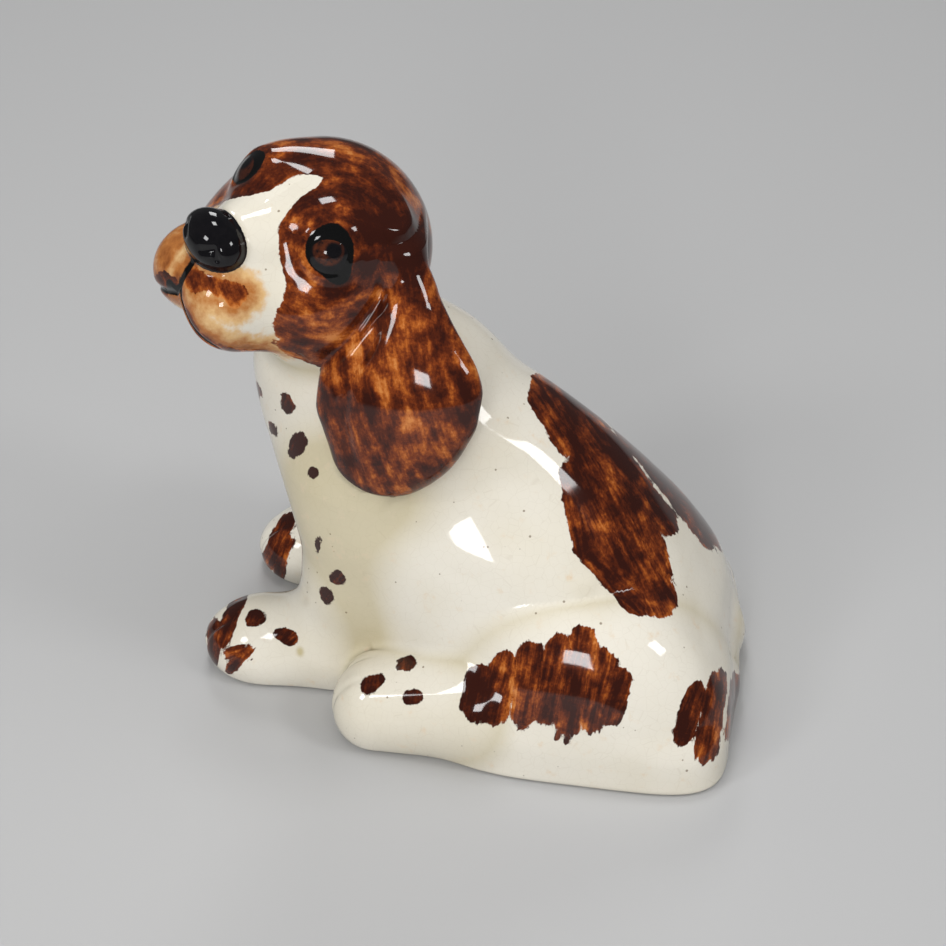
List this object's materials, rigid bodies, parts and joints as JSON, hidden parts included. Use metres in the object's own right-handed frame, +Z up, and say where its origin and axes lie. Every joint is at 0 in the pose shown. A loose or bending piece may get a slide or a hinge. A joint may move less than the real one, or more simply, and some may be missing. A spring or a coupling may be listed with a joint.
{
  "type": "ceramic dog figure",
  "caption": "Sitting spaniel puppy ornament in hollow glazed earthenware, cream with brushed brown patches, head turned to its left and raised; stands on a flat base.",
  "frame": {"origin": "on the ground under the middle of the figure, on the base slab's lower face", "axes": "+Z up, the puppy's body faces -Y, its left side is +X"},
  "size_m": [0.0997, 0.1355, 0.1305],
  "materials": {
    "cream_glaze": "gloss glaze with brushed brown patches",
    "head_glaze": "gloss glaze, mottled brown with a cream blaze",
    "brown_glaze": "gloss glaze, mottled brown",
    "black_glaze": "gloss black glaze",
    "bare_clay": "unglazed fired clay"
  },
  "bodies": {
    "root": {"torso": "cream_glaze", "left_foreleg": "cream_glaze", "right_foreleg": "cream_glaze", "left_haunch": "cream_glaze", "right_haunch": "cream_glaze", "left_hind_foot": "cream_glaze", "right_hind_foot": "cream_glaze", "head": "head_glaze", "left_ear": "brown_glaze", "right_ear": "brown_glaze", "tail": "cream_glaze", "nose": "black_glaze", "left_eye": "black_glaze", "right_eye": "black_glaze", "base_slab": "bare_clay"}
  },
  "joints": []
}
